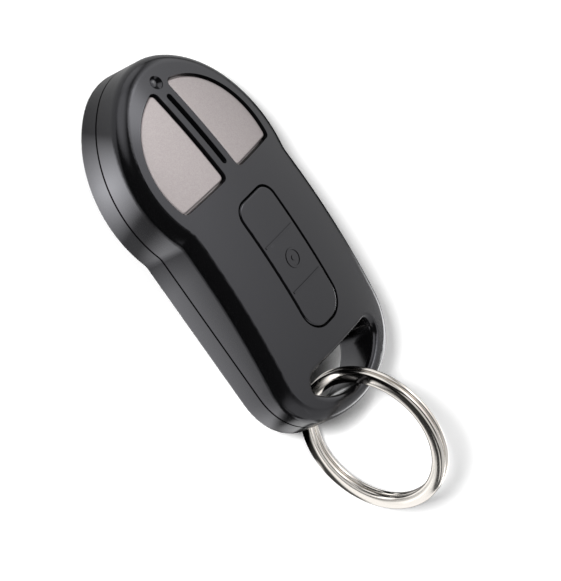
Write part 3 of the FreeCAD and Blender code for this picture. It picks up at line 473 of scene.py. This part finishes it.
# %% Finish: smoked window
smoked, tree, shader = new_material(
    "smoked_window", (0.03, 0.03, 0.034), 0.08, Coat_Weight=0.6, Coat_Roughness=0.05
)
cloudy = texture(tree, "Noise", object_place(tree), Scale=1500.0, Detail=2.0)
tint = color_between(tree, cloudy.outputs["Fac"], (0.016, 0.016, 0.02), (0.07, 0.07, 0.075))
join(tree, tint, shader.inputs["Base Color"])
relief(tree, shader, cloudy.outputs["Fac"], 20 * MICRON)
window.data.materials.append(smoked)
print("finish", smoked.name)

# %% [markdown]
# The parts inside can't be seen while the housing is closed, but the model can be opened, so they get
# real finishes too. The mouldings reuse the plastic above, each with its own colour, gloss and grain.

# %% Finishes: small mouldings
chip_black = plastic("chip_resin", (0.020, 0.020, 0.022), 0.45, 2.0 * MICRON, spread=0.1, grains=14.0)
ceramic = plastic("ceramic_chips", (0.23, 0.16, 0.10), 0.40, 1.5 * MICRON, spread=0.1, grains=10.0)
light_white = plastic("light_housing", (0.62, 0.60, 0.52), 0.35, 1.0 * MICRON)
nylon = plastic("switch_nylon", (0.030, 0.030, 0.032), 0.38, 2.0 * MICRON, spread=0.08)
acetal = plastic("stem_acetal", (0.55, 0.54, 0.50), 0.30, 1.0 * MICRON)
rubber = plastic("seal_rubber", (0.025, 0.025, 0.025), 0.60, 3.0 * MICRON, spread=0.1, grains=6.0)
mouldings = [chip_black, ceramic, light_white, nylon, acetal, rubber]
print("finishes", [finish.name for finish in mouldings])

# %% [markdown]
# Sheet metal is rolled, which leaves fine lines in one direction. A noise that changes ten times faster
# across that direction than along it makes them. It drives the roughness, a slight change of tone and a
# very small relief. The screws, the cell, the contacts, the crystal can, the switch frames and the copper
# track differ only in their values.

# %% Finishes: rolled metals
LINES_PER_METRE = (900.0, 9000.0, 9000.0)
LINE_TONE = 0.82


def rolled_metal(name, color, smooth, rough):
    """A bare metal with rolling lines: smooth and rough are its least and greatest roughness."""
    material, tree, shader = new_material(name, color, smooth, 1.0)
    stretch = add_node(tree, "ShaderNodeVectorMath", {"operation": "MULTIPLY"})
    stretch.inputs[1].default_value = LINES_PER_METRE
    join(tree, object_place(tree), stretch.inputs[0])
    lines = texture(tree, "Noise", stretch.outputs[0], Scale=1.0, Detail=4.0, Roughness=0.6)
    join(tree, ramp(tree, lines.outputs["Fac"], 0.3, 0.7, smooth, rough), shader.inputs["Roughness"])
    darker = [channel * LINE_TONE for channel in color]
    join(tree, color_between(tree, lines.outputs["Fac"], color, darker), shader.inputs["Base Color"])
    relief(tree, shader, lines.outputs["Fac"], 1.0 * MICRON)
    return material


zinc = rolled_metal("screw_zinc", (0.62, 0.62, 0.60), 0.28, 0.45)
can_tin = rolled_metal("can_tin", (0.74, 0.74, 0.72), 0.16, 0.30)
cell_nickel = rolled_metal("cell_nickel", (0.70, 0.69, 0.66), 0.18, 0.34)
contact_alloy = rolled_metal("contact_alloy", (0.72, 0.66, 0.52), 0.20, 0.36)
stainless = rolled_metal("switch_stainless", (0.66, 0.66, 0.67), 0.22, 0.36)
copper = rolled_metal("track_copper", (0.86, 0.50, 0.30), 0.25, 0.40)
metals = [zinc, can_tin, cell_nickel, contact_alloy, stainless, copper]
print("finishes", [finish.name for finish in metals])

# %% [markdown]
# A circuit board is glass cloth in resin under a thin green lacquer. The cloth shows faintly through:
# two crossed waves give its over-and-under, and the grain keeps the lacquer's gloss from looking even.

# %% Finish: board lacquer
board, tree, shader = new_material(
    "board_lacquer", (0.010, 0.085, 0.035), 0.3, Coat_Weight=0.4, Coat_Roughness=0.15
)
place = object_place(tree)
threads = []
for direction in ("X", "Y"):
    wave = texture(tree, "Wave", place, {"bands_direction": direction}, Scale=700.0, Distortion=0.4)
    threads.append(wave.outputs["Fac"])
cloth = combine(tree, "MULTIPLY", *threads)
lacquer = color_between(tree, cloth, (0.008, 0.070, 0.028), (0.014, 0.110, 0.045))
join(tree, lacquer, shader.inputs["Base Color"])
surface = place_group(tree, grain, Grain_per_mm=3.0, Roughness=0.3, Roughness_Spread=0.08)
join(tree, surface.outputs["Roughness"], shader.inputs["Roughness"])
relief(tree, shader, cloth, 4.0 * MICRON)
print("finish", board.name)

# %% [markdown]
# The record names a material slot for each solid. One table from slot to finish dresses them all, so a
# solid that is added later with a known slot is dressed without new code.

# %% Give the CAD solids their finishes
FINISHES = {
    "black_plastic": shell_black, "black_key": shell_black, "silver_key": silver_paint,
    "smoked_lens": smoked, "screw_steel": zinc, "board": board, "light_body": light_white,
    "copper_track": copper, "chip_body": chip_black, "bright_can": can_tin, "small_part_body": ceramic,
    "cell_steel": cell_nickel, "gasket": rubber, "contact_metal": contact_alloy, "switch_body": nylon,
    "switch_sheet": stainless, "switch_stem": acetal, "ring_nickel": nickel,
}
slot_of = {part["node"]: part["material_slot"] for part in frame["record"]["subparts"]}
for node, thing in frame["nodes"].items():
    for slot in thing.material_slots:
        slot.material = FINISHES[slot_of[node]]
print("dressed", len(slot_of), "solids in", len(set(slot_of.values())), "finishes")

# %% [markdown]
# Under each key lies a snap dome, a shallow disc of spring steel that the stem presses flat. Each is
# replaced by a copy with a mesh of its own, hung on the housing. Half its height clears the stem, which
# travels 0.3 mm.

# %% Copies of the domes
for side in ("left", "right", "centre"):
    node = side + "_switch_dome"
    low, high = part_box(node)
    dome = bpy.data.objects.new(side + "_snap_dome", frame["nodes"][node].data.copy())
    dome.matrix_world = frame["nodes"][node].matrix_world
    bpy.context.scene.collection.objects.link(dome)
    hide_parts(node)
    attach(dome, "housing")
    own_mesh(dome)
    print(dome.name, "is", round((high.z - low.z) / MM, 2), "mm high at rest")

# %% [markdown]
# The fob lies on a pale sheet with its ring tucked under the end, so the sheet is tilted until it
# touches both the back edge of the head and the lowest point of the ring. It starts a quarter of a
# millimetre lower, because a tilted sheet touches a round ring a little before its lowest point.

# %% The sheet under the fob
SHEET_DROP = 0.25 * MM
SHEET_SIZE = 0.34
head_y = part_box("rear_cover")[1].y
TILT = atan2(-ring_low.z, head_y - RING_CENTRE.y)
bpy.ops.mesh.primitive_plane_add(size=SHEET_SIZE)
floor = bpy.context.object
floor.name = "floor"
floor.rotation_euler = (TILT, 0, 0)
floor.location = (0, RING_CENTRE.y, ring_low.z - SHEET_DROP)
sheet, tree, shader = new_material("pale_sheet", (0.88, 0.88, 0.88), 0.9)
shader.inputs["Specular IOR Level"].default_value = 0.0
floor.data.materials.append(sheet)
print("sheet tilted by", round(degrees(TILT), 1), "degrees")

# %% [markdown]
# The glossy flank and the ring mirror what lies beside the fob. A photographer puts reflectors and black
# cards there until each curve has its light and its dark line. Here they are painted on the sheet, and
# only mirror rays see them. Places are in millimetres from the middle of the ring, X to the fob's right
# and Y towards its head. First come a card along the body and a dimmer one along the head, a bright patch
# by the head's left shoulder, and one whose light reaches the wall of the keyring hole.

# %% Reflectors beside the body
sheet_place = object_place(tree)
spot = add_node(tree, "ShaderNodeSeparateXYZ")
join(tree, sheet_place, spot.inputs[0])
sheet_x, sheet_y = spot.outputs["X"], spot.outputs["Y"]


def strip(along, start, end, low, high):
    """A ramp over the sheet from low at the start to high at the end, along X or Y."""
    return ramp(tree, along, start * MM, end * MM, low, high)


def patch(x, y, outer, inner, level, beyond=0.0):
    """A round patch, at its level inside the inner radius and at beyond outside the outer one."""
    node = add_node(tree, "ShaderNodeVectorMath", {"operation": "DISTANCE"})
    node.inputs[1].default_value = (x * MM, y * MM, 0)
    join(tree, sheet_place, node.inputs[0])
    return ramp(tree, node.outputs["Value"], outer * MM, inner * MM, beyond, level)


card_brightness = strip(sheet_x, -33, -22, 0.8, 2.2)
card_right_edge = strip(sheet_x, -17, -12, 1.0, 0.0)
card_head_end = strip(sheet_y, 41, 48, 1.0, 0.25)
card_left_edge = strip(sheet_x, -48, -34, 0.0, 1.0)
body_card = chain(tree, "MULTIPLY", card_brightness, card_right_edge, card_head_end)
head_card = strip(sheet_y, 50, 58, 0.0, 0.6)
both_cards = combine(tree, "MULTIPLY", combine(tree, "MAXIMUM", body_card, head_card), card_left_edge)
shoulder_patch = patch(-21, 66, outer=13.5, inner=1.0, level=5.5)
hole_wall_patch = patch(7, 22, outer=9.0, inner=4.0, level=1.0)
by_body = chain(tree, "ADD", both_cards, shoulder_patch, hole_wall_patch)
print("reflectors beside the body in", len(tree.nodes), "nodes")

# %% [markdown]
# The ring needs its own: a band of light along its left side, wider beyond the fob's end, and a dark
# strip right under the wire, for the black line along its outer edge. Small patches light single places
# of the wire in the picture: its lower left, its lower right and where it leaves the hole. More light lies
# further out, at the far left and the far right. Up to the ring's middle the ring's reflectors count, and
# from four millimetres past it those of the body.

# %% Reflectors beside the ring
DIM_SHEET = 0.035
left_band = strip(sheet_x, -17, -13, 0.0, 1.2)
beyond_end = combine(tree, "MULTIPLY", strip(sheet_x, -30, -25, 0.0, 1.2), strip(sheet_y, -13, -18, 0.0, 1.0))
less_at_right = strip(sheet_x, -2, 2, 1.0, 0.2)
left_of_dark = strip(sheet_x, -3.5, -5.0, 0.04, 1.0)
right_of_dark = strip(sheet_x, -1.2, 0, 0.0, 1.0)
past_dark = strip(sheet_y, -11, -15, 0.0, 1.0)
outside_dark = chain(tree, "MAXIMUM", left_of_dark, past_dark, right_of_dark)
ring_light = combine(tree, "MAXIMUM", left_band, beyond_end)
ring_light = chain(tree, "MULTIPLY", ring_light, less_at_right, outside_dark)
lower_left_patch = patch(0.2, -0.8, outer=2.2, inner=1.0, level=1.6)
lower_right_patch = patch(-18.5, -14, outer=5.0, inner=2.0, level=1.1)
far_left_patch = patch(-66, -52, outer=26.0, inner=14.0, level=0.9)
by_ring = chain(tree, "ADD", ring_light, DIM_SHEET, lower_left_patch, lower_right_patch, far_left_patch)
at_ring = strip(sheet_y, 4, 0, 0.0, 1.0)
at_body = combine(tree, "SUBTRACT", 1.0, at_ring)
far_right = combine(tree, "MULTIPLY", strip(sheet_x, 30, 38, 0.0, 2.4), strip(sheet_y, 0, -15, 0.0, 1.0))
hole_exit_patch = patch(14.5, 10.5, outer=4.0, inner=2.0, level=1.8)
reflectors = chain(
    tree, "ADD",
    combine(tree, "MULTIPLY", by_ring, at_ring), combine(tree, "MULTIPLY", by_body, at_body),
    far_right, hole_exit_patch,
)
print("all reflectors in", len(tree.nodes), "nodes")

# %% [markdown]
# The camera sees none of that, but a plain white sheet with the fob's shadow. A faint glow lifts its
# white to that of the page. Ambient occlusion dims the glow and the painted reflectors in the narrow
# places under the fob, which paints a contact shade there. A second one with a longer reach, inside a
# round patch under the keyring hole, paints shade into the sheet's colour and glow, so that what shows
# through the hole is dark. For mirror rays the sheet itself is black and only the reflectors shine.
# From below it is clear, so that the back can be looked at too.

# %% Finish: the pale sheet
SHEET_GLOW = 0.24
SHADE_REACH = 30 * MM
GLOW_REACH = 8 * MM
rays = add_node(tree, "ShaderNodeLightPath")
shade = add_node(tree, "ShaderNodeAmbientOcclusion", {"samples": 16}, Distance=SHADE_REACH)
# Painted shade: inside a round patch under the keyring hole, the sheet's colour and glow darken with ambient
# occlusion.
outside_hole_shade = patch(13, 12, outer=14.0, inner=8.0, level=0.0, beyond=1.0)
painted_hole_shade = ramp(tree, shade.outputs["AO"], 0.66, 0.98, 0.03, 0.88)
tone_with_painted_shade = combine(tree, "MAXIMUM", outside_hole_shade, painted_hole_shade)
# Painted contact shade: ambient occlusion dims the glow and the painted reflectors under the fob.
open_sky = add_node(tree, "ShaderNodeAmbientOcclusion", {"samples": 8}, Distance=GLOW_REACH)
in_mirror = chain(tree, "MULTIPLY", reflectors, open_sky.outputs["AO"], rays.outputs["Is Glossy Ray"])
in_camera = chain(tree, "MULTIPLY", tone_with_painted_shade, open_sky.outputs["AO"], rays.outputs["Is Camera Ray"])
glow = add_node(tree, "ShaderNodeEmission")
glow.inputs["Color"].default_value = (1, 1, 1, 1)
join(tree, combine(tree, "MULTIPLY_ADD", in_camera, SHEET_GLOW, in_mirror), glow.inputs["Strength"])
not_glossy = combine(tree, "SUBTRACT", 1.0, rays.outputs["Is Glossy Ray"])
# The sheet's colour: black for mirror rays, and darker by the painted shade under the keyring hole.
colour_with_painted_shade = combine(tree, "MULTIPLY", not_glossy, tone_with_painted_shade)
pale = add_node(tree, "ShaderNodeCombineColor")
for channel in ("Red", "Green", "Blue"):
    join(tree, colour_with_painted_shade, pale.inputs[channel])
join(tree, pale.outputs[0], shader.inputs["Base Color"])
lit_sheet = add_node(tree, "ShaderNodeAddShader")
join(tree, shader.outputs[0], lit_sheet.inputs[0])
join(tree, glow.outputs[0], lit_sheet.inputs[1])
one_way = add_node(tree, "ShaderNodeMixShader")
facing = add_node(tree, "ShaderNodeNewGeometry")
join(tree, facing.outputs["Backfacing"], one_way.inputs[0])
join(tree, lit_sheet.outputs[0], one_way.inputs[1])
join(tree, add_node(tree, "ShaderNodeBsdfTransparent").outputs[0], one_way.inputs[2])
join(tree, one_way.outputs[0], tree.nodes["Material Output"].inputs["Surface"])
print("finish", sheet.name, "in", len(tree.nodes), "nodes")

# %% [markdown]
# One lamp near the camera casts the narrow shadow to the right. Mirror rays don't see it, because the
# photograph has no spot of light on the gloss. Two small cards stand close to the ring and are seen only
# as reflections, one turned to a point low on the ring and one to a point just above it. Being close,
# they light the ring and leave the black band of the body alone, which looks the same way.

# %% The lamp and the cards


def softbox(name, direction, distance, width, height, power, target=LOOK_AT):
    """A rectangular area lamp at a distance from its target, turned towards it."""
    data = bpy.data.lights.new(name, "AREA")
    data.shape = "RECTANGLE"
    data.size = width
    data.size_y = height
    data.energy = power
    lamp = bpy.data.objects.new(name, data)
    bpy.context.scene.collection.objects.link(lamp)
    away = Vector(direction).normalized()
    lamp.location = target + away * distance
    lamp.rotation_euler = (-away).to_track_quat("-Z", "Y").to_euler()
    return lamp


LOW_ON_RING = Vector((-1, -42, -9)) * MM
ABOVE_RING = Vector((-1, -46, 21.5)) * MM
key = softbox("key_light", (-0.719, 0.280, 0.637), distance=1.2, width=0.13, height=0.13, power=20.0)
key.visible_glossy = False
card = softbox(
    "ring_card", (-0.87, -0.31, 0.39), distance=14 * MM, width=12 * MM, height=12 * MM, power=0.0003,
    target=LOW_ON_RING,
)
side_card = softbox(
    "ring_side_card", (-1, 0, 0), distance=13 * MM, width=24 * MM, height=10 * MM, power=0.0005,
    target=ABOVE_RING,
)
for small_card in (card, side_card):
    small_card.visible_camera = False
    small_card.visible_diffuse = False
print("lamps:", key.name, card.name, side_card.name)

# %% [markdown]
# The world is the rest of the studio, painted by direction: X to the fob's right, Y ahead towards its
# head, Z up. The ceiling starts a little to the right, so the room behind the camera stays dark and with
# it the shoulder that mirrors it. Two soft windows stand beyond the head, one lamp hangs high at the
# right, a low one lights the rim beside the keyring hole, and a dim light stands beyond the ring. Diffuse
# rays see the studio dimmer than mirror rays do, so the lamp keeps its crisp shadow, and camera rays see
# plain white.

# %% The studio world
DIMMER_FOR_DIFFUSE = 0.6
world = bpy.data.worlds.new("studio")
bpy.context.scene.world = world
world.use_nodes = True
tree = world.node_tree
background = tree.nodes["Background"]
sky_place = add_node(tree, "ShaderNodeTexCoord").outputs["Generated"]
heading = add_node(tree, "ShaderNodeSeparateXYZ")
join(tree, sky_place, heading.inputs[0])
to_right, ahead, up = heading.outputs["X"], heading.outputs["Y"], heading.outputs["Z"]


def light_towards(direction, start, end, level):
    """A round light on the sky: start and end are cosines of its outer and inner angle."""
    node = add_node(tree, "ShaderNodeVectorMath", {"operation": "DOT_PRODUCT"})
    node.inputs[1].default_value = Vector(direction).normalized()
    join(tree, sky_place, node.inputs[0])
    return ramp(tree, node.outputs["Value"], start, end, 0.0, level)


ceiling_edge = ramp(tree, to_right, 0.12, 0.24, 0.0, 1.0)
above_horizon = ramp(tree, up, 0.0, 0.25, 0.0, 1.0)
dimmer_behind = ramp(tree, ahead, -0.7, 0.1, 0.35, 1.0)
ends_ahead = ramp(tree, ahead, 0.65, 0.3, 0.0, 1.0)
dimmer_at_right = ramp(tree, to_right, 0.3, 0.95, 1.7, 0.92)
brighter_ahead = ramp(tree, ahead, 0.1, 0.35, 1.0, 1.35)
ceiling = chain(
    tree, "MULTIPLY",
    ceiling_edge, above_horizon, dimmer_behind, ends_ahead, dimmer_at_right, brighter_ahead,
)
beyond_ring = ramp(tree, ahead, -0.55, -0.75, 0.015, 0.7)
high_window = light_towards((-0.12, 0.85, 0.45), 0.80, 0.97, 1.3)
low_window = light_towards((0.48, 0.86, 0.20), 0.90, 0.97, 1.1)
high_lamp = light_towards((0.47, 0.25, 0.85), 0.978, 0.993, 3.8)
rim_lamp = light_towards((0.90, -0.44, -0.02), 0.984, 0.995, 4.0)
studio = chain(tree, "MAXIMUM", ceiling, beyond_ring, high_window, low_window, high_lamp, rim_lamp)
rays = add_node(tree, "ShaderNodeLightPath")
dimmed = combine(tree, "MULTIPLY_ADD", rays.outputs["Is Diffuse Ray"], -DIMMER_FOR_DIFFUSE, 1.0)
studio = combine(tree, "MULTIPLY", studio, dimmed)
in_camera = rays.outputs["Is Camera Ray"]
not_camera = combine(tree, "SUBTRACT", 1.0, in_camera)
join(tree, combine(tree, "MULTIPLY_ADD", studio, not_camera, in_camera), background.inputs["Strength"])
background.inputs["Color"].default_value = (1, 1, 1, 1)
print("studio painted in", len(tree.nodes), "nodes")
